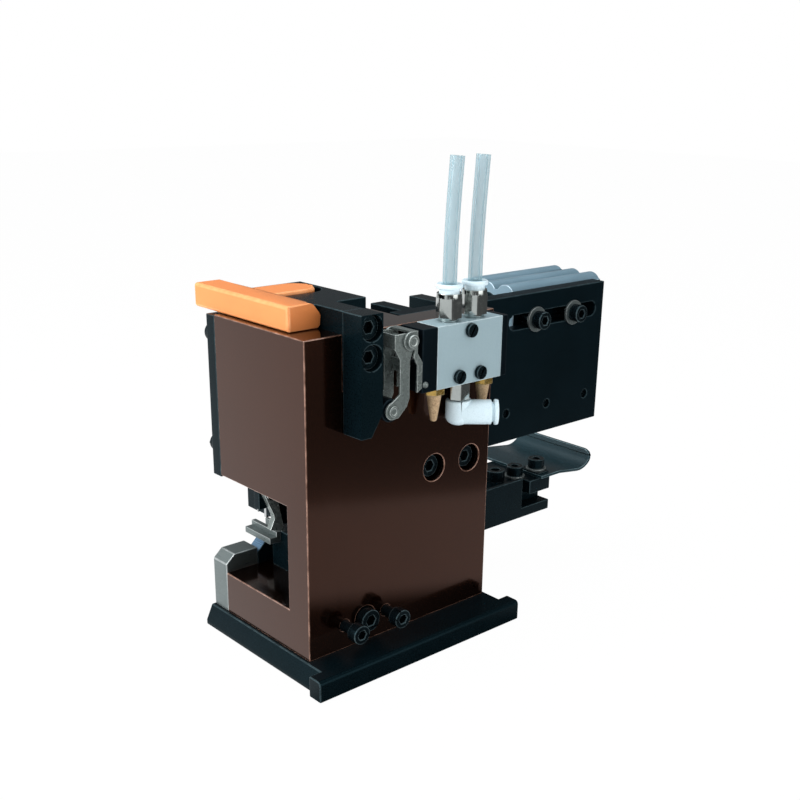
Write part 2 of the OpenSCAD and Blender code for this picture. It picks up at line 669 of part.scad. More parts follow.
module cylinder_ends() {
  color([0.4, 0.42, 0.44]) place() {
    difference() {
      translate([cyl_x0, cyl_y, cyl_z]) rotate([0, 90, 0]) cylinder(d = bore_d - 2 * run_gap, h = bush_l);
      translate([cyl_x0 - over, cyl_y, cyl_z]) rotate([0, 90, 0])
        cylinder(d = rod_d + 2 * run_gap, h = bush_l + 2 * over);
    }
    translate([cyl_x1 - cover_l, cyl_y, cyl_z]) rotate([0, 90, 0])
      cylinder(d = bore_d - 2 * run_gap, h = cover_l);
  }
}
module cylinder_fittings() {
  color([0.65, 0.66, 0.66]) place() for (x = port_at) translate([x, cyl_y + cyl_d / 2, cyl_z]) face_front()
    difference() {
      union() {
        translate([0, 0, -thread_l + 0.1]) cylinder(d = thread_d - 2 * run_gap, h = thread_l + 1);
        hexagon(10, port_h);
        cylinder(d = collar_d, h = port_h + 2);
        translate([0, 0, port_h + 1.4]) cylinder(d = ring_d, h = ring_t);
      }
      translate([0, 0, tube_seat]) cylinder(d = tube_d + 2 * run_gap, h = port_h + ring_t);
    }
}
piston_x0 = cyl_x0 + bush_l + 1.5;
piston_t = 10;
nut_t = 4;
rod_nut_w = 11;
module piston_rod() {
  color([0.75, 0.77, 0.78]) place() {
    translate([drive_x0 - nut_t - 2, cyl_y, cyl_z]) rotate([0, 90, 0])
      cylinder(d = rod_d, h = piston_x0 - drive_x0 + nut_t + 4);
    translate([piston_x0, cyl_y, cyl_z]) rotate([0, 90, 0])
      cylinder(d = bore_d - 2 * run_gap, h = piston_t);
  }
}
module rod_nut() {
  color([0.5, 0.52, 0.53]) place() translate([drive_x0 - nut_t, cyl_y, cyl_z]) rotate([0, 90, 0])
    difference() {
    hexagon(rod_nut_w, nut_t);
    translate([0, 0, -over]) cylinder(d = rod_d + 2 * screw_gap, h = nut_t + 2 * over);
  }
}

// Feed slide: carriage on the rail, plate to the rod, and the arm that carries the finger
carriage_x0 = drive_x0 - 12;
carriage_l = 26;
carriage_z1 = rail_z + 8;
finger_y1 = axis_y - 6.5;
arm_y0 = finger_y1 + seat_gap;
feed_arm_t = 4;
feed_arm_z1 = throat_top - 1.5;
feed_arm_z0 = feed_arm_z1 - 10;
feed_arm_drop = 10;
finger_x = 9.3;
finger_z = throat_top - 4;
finger_r = 2.9;
finger_t = 3;
finger_pin_d = 2.4;
tip_x = finger_x + 6.9;
tip_z = track_z1 + 5;
module drive_plate() {
  color([0.12, 0.15, 0.17]) place() difference() {
    block([drive_x0, stop_y - 5, carriage_z1], [drive_x0 + drive_t, cyl_y + 8, frame_top - 1]);
    translate([drive_x0 - over, cyl_y, cyl_z]) rotate([0, 90, 0])
      cylinder(d = rod_d + 2 * screw_gap, h = drive_t + 2 * over);
  }
}
module feed_carriage() {
  color([0.25, 0.27, 0.28]) place() difference() {
    block([carriage_x0, plate_y1 + 1.5, rail_z - 8], [carriage_x0 + carriage_l, arm_y0, carriage_z1]);
    block([carriage_x0 - over, plate_y1, rail_z - rail_h / 2 - slide_gap],
      [carriage_x0 + carriage_l + over, plate_y1 + rail_t + slide_gap, rail_z + rail_h / 2 + slide_gap]);
  }
}
module feed_arm() {
  color([0.1, 0.12, 0.14]) place() difference() {
    along_y(arm_y0, arm_y0 + feed_arm_t) polygon([
      [finger_x - 4, feed_arm_z0], [finger_x - 4, feed_arm_z1], [carriage_x0 - 6, feed_arm_z1],
      [carriage_x0, feed_arm_z1 + 6], [carriage_x0, carriage_z1], [carriage_x0 + carriage_l, carriage_z1],
      [carriage_x0 + carriage_l, feed_arm_z0], [head_w, feed_arm_z0 - feed_arm_drop],
      [tip_x + 1, feed_arm_z0 - feed_arm_drop], [tip_x - 1.5, feed_arm_z0]]);
    translate([finger_x, arm_y0 - over, finger_z]) face_front()
      cylinder(d = finger_pin_d + 2 * screw_gap, h = feed_arm_t + 2 * over);
  }
}
module finger_pin() {
  color([0.7, 0.72, 0.74]) place() {
    translate([finger_x, finger_y1 - finger_t - 1.2, finger_z]) face_front()
      cylinder(d = finger_pin_d, h = finger_t + feed_arm_t + 1.5);
    translate([finger_x, finger_y1 - finger_t - 1.2, finger_z]) face_front() cylinder(d = 5, h = 1);
  }
}
// Sprung finger with a wide foot that draws the strip along
module feed_finger() {
  color([0.62, 0.66, 0.66]) place() difference() {
    along_y(finger_y1 - finger_t, finger_y1) polygon(concat(
      [for (a = [205:-15:10]) [finger_x, finger_z] + polar(finger_r, a)],
      [[tip_x, tip_z], [tip_x - 3, tip_z + 1], [tip_x - 7.6, tip_z + 2.6], [tip_x - 5.3, tip_z + 7.4],
        [tip_x - 5.6, tip_z + 9.2]]));
    translate([finger_x, finger_y1 - finger_t - over, finger_z]) face_front()
      cylinder(d = finger_pin_d + 2 * run_gap, h = finger_t + 2 * over);
  }
}

// Roller-lever valve on the rear wall
valve_x1 = valve_x + valve_l;
valve_y = -valve_d / 2;
cap_l = 8.3;
cap_x0 = valve_x - cap_l;
end_l = 3.3;
spool_z = valve_z0 + valve_h / 2;
spool_d = 7;
plunger_d = 4.5;
thread_d = 5;
thread_l = 3.3;
top_port_at = [valve_x + 12.1, valve_x + 26.8];
low_port_step = 14.4;
low_port_at = [for (i = [0:2]) valve_x + 4.7 + i * low_port_step];
module valve_body() {
  color([0.72, 0.78, 0.8]) place() difference() {
    block([valve_x, -valve_d, valve_z0], [valve_x1, 0, valve_z1]);
    translate([valve_x - over, valve_y, spool_z]) rotate([0, 90, 0])
      cylinder(d = spool_d, h = valve_l + 2 * over);
    for (x = top_port_at) translate([x, valve_y, valve_z1 - thread_l])
      cylinder(d = thread_d, h = thread_l + over);
    for (x = low_port_at) translate([x, valve_y, valve_z0 - over])
      cylinder(d = thread_d, h = thread_l + over);
    for (p = valve_screw_at) translate([p.x, -valve_d, p.y]) face_back()
      screw_hole(valve_screw_d, valve_d + over);
  }
}
module valve_caps() {
  color([0.05, 0.06, 0.08]) place() {
    difference() {
      block([cap_x0, -valve_d, valve_z0], [valve_x, 0, valve_z1]);
      translate([cap_x0 - over, valve_y, spool_z]) rotate([0, 90, 0])
        cylinder(d = plunger_d + 2 * run_gap, h = cap_l + 2 * over);
    }
    block([valve_x1, -valve_d, valve_z0], [valve_x1 + end_l, 0, valve_z1]);
  }
}
// Cheese-head screws with a driver slot
module valve_screws() {
  color([0.07, 0.08, 0.1]) place() for (p = valve_screw_at) translate([p.x, -valve_d, p.y]) face_back()
    difference() {
      union() {
        cylinder(d = 6, h = 1.9);
        translate([0, 0, -valve_d - 6]) cylinder(d = valve_screw_d, h = valve_d + 7);
      }
      rotate([0, 0, 60]) block([-4, -0.45, 1], [4, 0.45, 3]);
    }
}
web_t = 1;
lever_web_x = cap_x0 - 7;
spool_x1 = valve_x1 - 5.5;
spring_r = 2.6;
spring_wire = 0.7;
spring_turns = 5;
module valve_spool() {
  color([0.78, 0.8, 0.82]) place() {
    translate([lever_web_x + web_t + seat_gap, valve_y, spool_z]) rotate([0, 90, 0])
      cylinder(d = plunger_d, h = valve_x - lever_web_x + 3);
    translate([valve_x + 1.5, valve_y, spool_z]) rotate([0, 90, 0]) rotate_extrude() polygon(concat(
      [[0, 0]],
      [for (i = [0:3]) each [
        [spool_d / 2 - run_gap, i * (spool_x1 - valve_x - 1.5) / 4],
        [spool_d / 2 - run_gap, i * (spool_x1 - valve_x - 1.5) / 4 + 4.5],
        [spool_d / 2 - 1.3, i * (spool_x1 - valve_x - 1.5) / 4 + 4.6],
        [spool_d / 2 - 1.3, (i + 1) * (spool_x1 - valve_x - 1.5) / 4 - 0.1]]],
      [[0, spool_x1 - valve_x - 1.5]]));
  }
}
// Closed tube swept along a list of points, each ring facing along the path
function unit(v) = v / norm(v);
function tangent(path, i) = unit(path[min(i + 1, len(path) - 1)] - path[max(i - 1, 0)]);
function ring(path, i, r, n) = let (t = tangent(path, i), s = abs(t.z) > 0.9 ? [1, 0, 0] : [0, 0, 1],
  u = unit(cross(t, s)), v = cross(t, u))
  [for (k = [0:n - 1]) path[i] + r * (cos(360 * k / n) * u + sin(360 * k / n) * v)];
module sweep(path, r, n) {
  m = len(path);
  polyhedron(
    points = [for (i = [0:m - 1]) each ring(path, i, r, n)],
    faces = concat([[for (k = [0:n - 1]) k]], [[for (k = [n - 1:-1:0]) (m - 1) * n + k]],
      [for (i = [0:m - 2], k = [0:n - 1]) let (a = i * n + k, b = i * n + (k + 1) % n) [a, a + n, b + n, b]]));
}
module valve_spring() {
  spring_l = valve_x1 - spool_x1 - spring_wire - 0.4;
  color([0.6, 0.6, 0.6]) place() translate([spool_x1 + spring_wire / 2 + 0.2, valve_y, spool_z])
    sweep([for (k = [0:12 * spring_turns]) [k / (12 * spring_turns) * spring_l, each polar(spring_r, 30 * k)]],
      spring_wire / 2, 6);
}

// Roller lever: a stamped channel on a bracket, with the roller between its cheeks
pivot_x = cap_x0 - 6;
pivot_z = valve_z1 - 3.8;
roller_x = cam_x + cam_w + 0.4 + roller_d / 2;
roller_z = pivot_z - 27.8;
pin_d = 3;
ear_r = 3.8;
ear_w = 3.4;
inner_y0 = -valve_d + web_t + 0.2;
inner_y1 = -web_t - 0.2;
// Flange of the bracket: an ear round the pin and a cranked leg that stands on the valve's cap
module flange() {
  difference() {
    union() {
      translate([pivot_x, pivot_z]) circle(r = ear_r);
      polygon([
        [pivot_x, pivot_z + ear_r], [pivot_x + ear_w, pivot_z + ear_r], [pivot_x + ear_w, pivot_z - 5.5],
        [cap_x0, pivot_z - 9.5], [cap_x0, valve_z0 + 2.4], [cap_x0 - 2.6, valve_z0 + 0.9],
        [cap_x0 - 2.5, pivot_z - 10.7], [pivot_x + 1.4, pivot_z - 6.8], [pivot_x + 2, pivot_z - ear_r],
        [pivot_x, pivot_z - ear_r]]);
    }
    translate([pivot_x, pivot_z]) circle(d = pin_d + 2 * screw_gap);
  }
}
module lever_bracket() {
  color([0.55, 0.6, 0.6]) place() {
    for (y = [-valve_d, -web_t]) along_y(y, y + web_t) flange();
    block([pivot_x, -valve_d + web_t / 2, valve_z1 - 0.9], [pivot_x + ear_w, -web_t / 2, valve_z1]);
  }
}
// Riveted pivot pin, and the rivet on the cap beside the bracket's leg
rivet_r = 1.4;
module lever_pin() {
  color([0.72, 0.75, 0.76]) place() {
    translate([pivot_x, -valve_d - 1.5, pivot_z]) face_front() {
      cylinder(d = pin_d, h = valve_d + 1.4);
      cylinder(d = 5.4, h = 1.3);
    }
    translate([cap_x0 + rivet_r + 0.2, -valve_d, valve_z0 + 3.6]) face_back() rotate_extrude() polygon(concat(
      [[0, 0]], [for (a = [0:15:90]) polar(rivet_r, a)]));
  }
}
module cheek() {
  difference() {
    union() {
      translate([pivot_x, pivot_z]) circle(r = 2.6);
      translate([roller_x, roller_z]) circle(r = 3.6);
      polygon([
        [pivot_x - 7.8, pivot_z + 3.2], [pivot_x - 7.8, pivot_z - 2.6], [pivot_x - 4.9, pivot_z - 7.4],
        [pivot_x - 4.9, pivot_z - 21.5], [roller_x - 0.6, roller_z + 3.5], [roller_x, roller_z - 3.6],
        [roller_x + 3, roller_z - 3.4], [pivot_x - 1, roller_z + 0.8], [pivot_x + 0.3, roller_z + 4],
        [pivot_x + 0.3, pivot_z - 8], [pivot_x + 2.4, pivot_z - 3], [pivot_x + 2.4, pivot_z],
        [pivot_x, pivot_z + 2.6], [pivot_x - 2, pivot_z + 3.2]]);
    }
    translate([pivot_x, pivot_z]) circle(d = pin_d + 2 * run_gap);
  }
}
module roller_lever() {
  color([0.5, 0.56, 0.56]) place() {
    for (y = [inner_y0, inner_y1 - web_t]) along_y(y, y + web_t) cheek();
    block([pivot_x - 7.8, inner_y0 + web_t / 2, pivot_z - 2.6],
      [pivot_x - 7.8 + web_t, inner_y1 - web_t / 2, pivot_z + 3.2]);
    block([lever_web_x - 0.2, inner_y0 + web_t / 2, spool_z - 4],
      [lever_web_x + web_t, inner_y1 - web_t / 2, spool_z + 1.5]);
    translate([roller_x, inner_y0 - 0.5, roller_z]) face_front()
      cylinder(d = pin_d, h = inner_y1 - inner_y0 + 0.5);
    translate([roller_x, inner_y0 - 0.8, roller_z]) face_front() cylinder(d = 4.6, h = 0.8);
  }
}
module roller() {
  color([0.06, 0.07, 0.09]) place() translate([roller_x, inner_y0 + web_t + 0.3, roller_z]) face_front()
    difference() {
    cylinder(d = roller_d, h = inner_y1 - inner_y0 - 2 * web_t - 0.6);
    translate([0, 0, -over]) cylinder(d = pin_d + 2 * run_gap, h = valve_d);
  }
}

// Air fittings
silencer_hex = 3.6;
silencer_l = 12;
silencer_r = 3.1;
silencer_tip = 0.5;
module silencers() {
  color([0.7, 0.5, 0.26]) place() for (x = [low_port_at[0], low_port_at[2]])
    translate([x, valve_y, valve_z0]) {
    translate([0, 0, -silencer_hex]) hexagon(8, silencer_hex);
    translate([0, 0, -silencer_hex / 2])
      cylinder(d = thread_d - 2 * run_gap, h = silencer_hex / 2 + thread_l - 0.2);
    translate([0, 0, -silencer_hex - silencer_l]) rotate_extrude() polygon(concat(
      [[0, silencer_l + 1], [silencer_r, silencer_l + 1], [silencer_r, silencer_l - 1]],
      [for (a = [0:-15:-90]) [silencer_tip, 1] + polar(1, a)], [[0, 0]]));
  }
}
tube_seat = 4;
collar_d = 8.6;
collar_l = 4;
ring_d = 11.2;
ring_t = 1.8;
ring_travel = 1;
// Straight push-in fitting, seat at z = 0 and thread below
module push_fitting(hex, h) {
  difference() {
    union() {
      translate([0, 0, -thread_l + 0.1]) cylinder(d = thread_d - 2 * run_gap, h = thread_l + 1);
      cylinder(d = hex - 1.2, h = h);
      translate([0, 0, 1.4]) hexagon(hex, h - 4);
      translate([0, 0, h - 2.7]) cylinder(d = hex + 0.6, h = 2);
    }
    translate([0, 0, tube_seat]) cylinder(d = tube_d + 2 * run_gap, h = h);
    translate([0, 0, h - collar_l - ring_travel]) cylinder(d = collar_d + 0.2, h = h);
  }
}
// Flanged ring that frees the tube when it is pressed in by its travel
module release_ring(h) {
  translate([0, 0, h - collar_l]) difference() {
    union() {
      cylinder(d = collar_d, h = collar_l + ring_travel + 1);
      translate([0, 0, collar_l + ring_travel + 0.2]) cylinder(d = ring_d, h = ring_t);
    }
    translate([0, 0, -over]) cylinder(d = tube_d + 0.4, h = 20);
  }
}
fitting_h = 12.4;
module straight_fittings() {
  color([0.62, 0.63, 0.6]) place() for (x = top_port_at) translate([x, valve_y, valve_z1])
    push_fitting(10, fitting_h);
}
module ring_left() {
  color([0.86, 0.93, 0.92]) place() translate([top_port_at[0], valve_y, valve_z1]) release_ring(fitting_h);
}
module ring_right() {
  color([0.86, 0.93, 0.92]) place() translate([top_port_at[1], valve_y, valve_z1]) release_ring(fitting_h);
}

// Elbow that swivels on its hexagon, resting turned away from the wall
elbow_angle = -40;
elbow_hex_h = 8.2;
elbow_r = 5.4;
elbow_round = 4;
elbow_z = valve_z0 - elbow_hex_h - elbow_r - 0.6;
elbow_l = 14.4;
spigot_d = 6;
module elbow_hex() {
  color([0.66, 0.67, 0.64]) place() translate([low_port_at[1], valve_y, valve_z0]) {
    translate([0, 0, -elbow_hex_h]) hexagon(8.6, elbow_hex_h);
    translate([0, 0, -1]) cylinder(d = thread_d - 2 * run_gap, h = 1 + thread_l - 0.2);
    translate([0, 0, -elbow_hex_h - 4]) cylinder(d = spigot_d, h = 5);
  }
}
module at_elbow() {
  translate([low_port_at[1], valve_y, elbow_z]) rotate([0, 0, elbow_angle]) rotate([0, 90, 0]) children();
}
module elbow_body() {
  color([0.9, 0.94, 0.96]) place() difference() {
    union() {
      translate([low_port_at[1], valve_y, elbow_z]) rotate_extrude() polygon(concat(
        [[0, elbow_r + 0.3], [0, -elbow_r - 0.1]],
        [for (a = [-90:15:0])
          [elbow_r + 0.1 - elbow_round, elbow_round - elbow_r - 0.1] + polar(elbow_round, a)],
        [[elbow_r + 0.1, elbow_r + 0.3]]));
      at_elbow() cylinder(r = elbow_r, h = elbow_l);
    }
    translate([low_port_at[1], valve_y, valve_z0 - elbow_hex_h - 4.3])
      cylinder(d = spigot_d + 2 * run_gap, h = 20);
    at_elbow() translate([0, 0, elbow_l - 9]) cylinder(d = tube_d + 2 * run_gap, h = 20);
    at_elbow() translate([0, 0, elbow_l - collar_l - ring_travel]) cylinder(d = collar_d + 0.2, h = 20);
  }
}
module elbow_ring() { color([0.9, 0.94, 0.96]) place() at_elbow() release_ring(elbow_l); }

// Air tubes: short open ends standing in the straight fittings
tube_foot = valve_z1 + tube_seat;
tube_lean = [[0, 0, 0], [0, 0, 13], [0.2, 0, 26], [0.8, 0, 38], [1.6, 0, 50], [2.6, 0, 62]];
module air_tube(x) {
  color([0.75, 0.88, 0.92, 0.5]) place()
    sweep([for (p = tube_lean) [x, valve_y, tube_foot] + p], tube_d / 2, 12);
}
module tube_left() { air_tube(top_port_at[0]); }
module tube_right() { air_tube(top_port_at[1]); }

base_plate();
base_screws();
c_frame();
ram_cover();
front_screws();
front_plate();
anvil_block();
wire_anvil();
insulation_anvil();
guide_rail();
rear_screws();
ram();
cam_bar();
cam_bar_screws();
punch_shim();
punch_holder();
wire_punch();
insulation_punch();
holder_screws();
shear_pusher();
transport_lock();
feed_track();
strip_tray();
clamp_bar();
table_screws();
washers();
feed_plate();
slot_screws();
stop_screw();
feed_rail();
rail_screws();
cylinder_body();
cylinder_ends();
cylinder_fittings();
piston_rod();
rod_nut();
drive_plate();
feed_carriage();
feed_arm();
finger_pin();
feed_finger();
valve_body();
valve_caps();
valve_screws();
valve_spool();
valve_spring();
lever_bracket();
lever_pin();
roller_lever();
roller();
silencers();
straight_fittings();
ring_left();
ring_right();
elbow_hex();
elbow_body();
elbow_ring();
tube_left();
tube_right();
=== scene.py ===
# %% [markdown]
# # A crimp applicator, dressed for its portrait
# The CAD model already gives every plate, screw and lever its true size. This lesson adds what the
# CAD leaves out: broken edges, finishes, clear air tubes, studio light and a camera. Each part is
# loaded where it belongs, in metres, so nothing here has to be moved into place.

# %% Load the CAD frame
import json
import math

import bmesh
import bpy
from mathutils import Matrix, Vector
from mathutils.geometry import intersect_point_line


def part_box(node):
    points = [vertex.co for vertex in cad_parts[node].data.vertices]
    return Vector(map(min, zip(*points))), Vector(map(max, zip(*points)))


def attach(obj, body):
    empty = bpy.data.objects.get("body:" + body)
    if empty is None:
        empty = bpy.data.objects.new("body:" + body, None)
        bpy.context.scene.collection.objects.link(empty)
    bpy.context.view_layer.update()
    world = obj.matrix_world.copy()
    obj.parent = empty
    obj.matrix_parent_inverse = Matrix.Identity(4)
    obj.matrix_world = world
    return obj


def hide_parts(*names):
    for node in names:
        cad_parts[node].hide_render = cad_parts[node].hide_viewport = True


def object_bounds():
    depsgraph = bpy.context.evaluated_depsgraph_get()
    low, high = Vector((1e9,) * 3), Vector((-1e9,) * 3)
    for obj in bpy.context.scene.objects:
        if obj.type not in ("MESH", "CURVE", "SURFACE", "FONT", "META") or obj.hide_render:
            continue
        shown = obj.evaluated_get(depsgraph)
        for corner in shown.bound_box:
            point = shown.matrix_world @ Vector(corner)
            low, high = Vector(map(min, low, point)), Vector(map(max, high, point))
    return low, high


MM = 0.001
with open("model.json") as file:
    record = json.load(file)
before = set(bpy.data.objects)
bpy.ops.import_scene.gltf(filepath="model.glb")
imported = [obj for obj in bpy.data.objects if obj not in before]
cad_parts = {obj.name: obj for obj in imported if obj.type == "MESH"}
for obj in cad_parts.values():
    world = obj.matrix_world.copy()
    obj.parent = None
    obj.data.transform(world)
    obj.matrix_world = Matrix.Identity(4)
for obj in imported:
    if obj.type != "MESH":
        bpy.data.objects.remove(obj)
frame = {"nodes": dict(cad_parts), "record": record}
cad_box = [list(corner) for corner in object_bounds()]
print("nodes", len(frame["nodes"]), "box", [[round(v, 4) for v in c] for c in cad_box])

# %% [markdown]
# ## Finishes: the shared effects
# Real machined parts are never one flat colour. Three effects come back on almost every surface:
# a slow mottle in the coating, fine grinding lines, and bright edges, partly real wear and partly
# painted highlight. Each one is a shader node group, built once and reused, so a change to the
# effect reaches every finish that uses it.

# %% Small helpers
def add_object(name, data):
    thing = bpy.data.objects.new(name, data)
    bpy.context.scene.collection.objects.link(thing)
    return thing


def set_inputs(node, values):
    for label, value in values.items():
        node.inputs[label].default_value = value


def new_group(name, inputs, outputs):
    group = bpy.data.node_groups.new(name, "ShaderNodeTree")
    for label, kind, value in inputs:
        socket = group.interface.new_socket(label, in_out="INPUT", socket_type=kind)
        socket.default_value = value
    for label, kind in outputs:
        group.interface.new_socket(label, in_out="OUTPUT", socket_type=kind)
    return group, group.nodes.new("NodeGroupInput"), group.nodes.new("NodeGroupOutput")


def link(tree, source, target):
    tree.links.new(source, target)


def math_node(tree, operation, a, b, clamp=False):
    node = tree.nodes.new("ShaderNodeMath")
    node.operation = operation
    node.use_clamp = clamp
    for socket, value in zip(node.inputs, (a, b)):
        if isinstance(value, (int, float)):
            socket.default_value = value
        else:
            link(tree, value, socket)
    return node.outputs[0]


# %% Coating mottle: cloudy change over centimetres plus a fine speckle
def build_mottle():
    group, inp, out = new_group(
        "coating_mottle",
        [("Cloud Scale", "NodeSocketFloat", 40.0), ("Speckle Scale", "NodeSocketFloat", 1800.0),
         ("Speckle Share", "NodeSocketFloat", 0.4)],
        [("Value", "NodeSocketFloat"), ("Speckle", "NodeSocketFloat")])
    coord = group.nodes.new("ShaderNodeTexCoord").outputs["Object"]
    parts = []
    for scale, detail in (("Cloud Scale", 4.0), ("Speckle Scale", 2.0)):
        noise = group.nodes.new("ShaderNodeTexNoise")
        set_inputs(noise, {"Detail": detail})
        link(group, coord, noise.inputs["Vector"])
        link(group, inp.outputs[scale], noise.inputs["Scale"])
        parts.append(noise.outputs["Fac"])
    mix = group.nodes.new("ShaderNodeMix")
    link(group, inp.outputs["Speckle Share"], mix.inputs["Factor"])
    link(group, parts[0], mix.inputs["A"])
    link(group, parts[1], mix.inputs["B"])
    link(group, mix.outputs["Result"], out.inputs["Value"])
    link(group, parts[1], out.inputs["Speckle"])
    return group


MOTTLE = build_mottle()
print("group", MOTTLE.name)

# %% Grinding lines: noise stretched along one direction
def build_grind():
    group, inp, out = new_group(
        "grinding_lines", [("Stretch", "NodeSocketVector", (60.0, 60.0, 3000.0))],
        [("Lines", "NodeSocketFloat")])
    coord = group.nodes.new("ShaderNodeTexCoord").outputs["Object"]
    mapping = group.nodes.new("ShaderNodeMapping")
    link(group, coord, mapping.inputs["Vector"])
    link(group, inp.outputs["Stretch"], mapping.inputs["Scale"])
    noise = group.nodes.new("ShaderNodeTexNoise")
    set_inputs(noise, {"Scale": 1.0, "Detail": 3.0})
    link(group, mapping.outputs["Vector"], noise.inputs["Vector"])
    link(group, noise.outputs["Fac"], out.inputs["Lines"])
    return group


GRIND = build_grind()
print("group", GRIND.name)

# %% Worn edges and painted highlight: the bevelled strips carry an attribute, broken up by noise
WEAR_SHEEN_GAIN, WEAR_SHEEN_OFFSET = 1.6, -0.1


# Edge mask: partly wear, partly a painted highlight on the bevelled strips.
def build_wear_and_sheen():
    group, inp, out = new_group(
        "worn_edge_and_sheen",
        [("Wear And Sheen", "NodeSocketFloat", 0.5), ("Break Up", "NodeSocketFloat", 260.0)],
        [("Mask", "NodeSocketFloat")])
    edge = group.nodes.new("ShaderNodeAttribute")
    edge.attribute_name = "edge"
    noise = group.nodes.new("ShaderNodeTexNoise")
    set_inputs(noise, {"Detail": 3.0})
    link(group, group.nodes.new("ShaderNodeTexCoord").outputs["Object"], noise.inputs["Vector"])
    link(group, inp.outputs["Break Up"], noise.inputs["Scale"])
    spread = math_node(group, "MULTIPLY_ADD", noise.outputs["Fac"], WEAR_SHEEN_GAIN)
    spread.node.inputs[2].default_value = WEAR_SHEEN_OFFSET
    worn_and_sheen = math_node(group, "MULTIPLY", spread, edge.outputs["Fac"], clamp=True)
    mask = math_node(group, "MULTIPLY", worn_and_sheen, inp.outputs["Wear And Sheen"], clamp=True)
    link(group, mask, out.inputs["Mask"])
    return group


WEAR_AND_SHEEN = build_wear_and_sheen()
print("group", WEAR_AND_SHEEN.name)

# %% [markdown]
# ## Finishes: one recipe, many metals and plastics
# A finish starts from a dark and a light tone of the same colour. The mottle mixes the tones, the
# grinding lines shift the roughness, and the worn edges take a third, brighter tone: partly wear,
# partly painted highlight. Numbers that are the same all over the surface are set on the shader's
# own sockets.

# %% The finish recipe
NOISE_SPAN = (0.3, 0.7)
ROUGH_SPREAD = 0.07
BUMP_DEPTH = 0.2 * MM
COAT_ROUGH = 0.1


def place_group(tree, group, values):
    node = tree.nodes.new("ShaderNodeGroup")
    node.node_tree = group
    set_inputs(node, values)
    return node


def mix_colour(tree, factor, a, b):
    node = tree.nodes.new("ShaderNodeMix")
    node.data_type = "RGBA"
    for label, value in (("Factor", factor), ("A", a), ("B", b)):
        if isinstance(value, tuple):
            node.inputs[label].default_value = (*value, 1.0)
        else:
            link(tree, value, node.inputs[label])
    return node.outputs["Result"]


def ramp(tree, value, span, low, high):
    node = tree.nodes.new("ShaderNodeMapRange")
    link(tree, value, node.inputs["Value"])
    set_inputs(node, {"From Min": span[0], "From Max": span[1], "To Min": low, "To Max": high})
    return node.outputs["Result"]


def finish(name, dark, light, edge, rough, metallic=0.0, wear_and_sheen=0.5, cloud=40.0, speckle=1800.0,
           share=0.4, stretch=None, bump=0.05, specular=0.5, tint=(1.0, 1.0, 1.0), coat=0.0,
           dull_edge=None):
    material = bpy.data.materials.new(name)
    material.use_nodes = True
    tree = material.node_tree
    shader = tree.nodes["Principled BSDF"]
    mottle = place_group(tree, MOTTLE, {
        "Cloud Scale": cloud, "Speckle Scale": speckle, "Speckle Share": share})
    mixed = ramp(tree, mottle.outputs["Value"], NOISE_SPAN, 0.0, 1.0)
    tone = mix_colour(tree, mixed, dark, light)
    # The edge tone is partly wear and partly a painted highlight on the bevelled strips.
    worn_and_sheen = place_group(tree, WEAR_AND_SHEEN, {"Wear And Sheen": wear_and_sheen})
    link(tree, mix_colour(tree, worn_and_sheen.outputs["Mask"], tone, edge), shader.inputs["Base Color"])
    grain = mottle.outputs["Speckle"]
    if stretch:
        grain = place_group(tree, GRIND, {"Stretch": stretch}).outputs["Lines"]
    gloss = ramp(tree, grain, NOISE_SPAN, rough - ROUGH_SPREAD, rough + ROUGH_SPREAD)
    link(tree, gloss, shader.inputs["Roughness"])
    if bump:
        node = tree.nodes.new("ShaderNodeBump")
        set_inputs(node, {"Strength": bump, "Distance": BUMP_DEPTH})
        link(tree, grain, node.inputs["Height"])
        link(tree, node.outputs["Normal"], shader.inputs["Normal"])
    set_inputs(shader, {
        "Metallic": metallic, "Specular IOR Level": specular, "Specular Tint": (*tint, 1.0),
        "Coat Weight": coat, "Coat Roughness": COAT_ROUGH})
    # Painted highlight too: where the edge mask is on, the metal gives way to the pale, dull edge
    # tone.
    if dull_edge is not None:
        drop = math_node(tree, "MULTIPLY", worn_and_sheen.outputs["Mask"], metallic - dull_edge)
        link(tree, math_node(tree, "SUBTRACT", metallic, drop), shader.inputs["Metallic"])
    return material


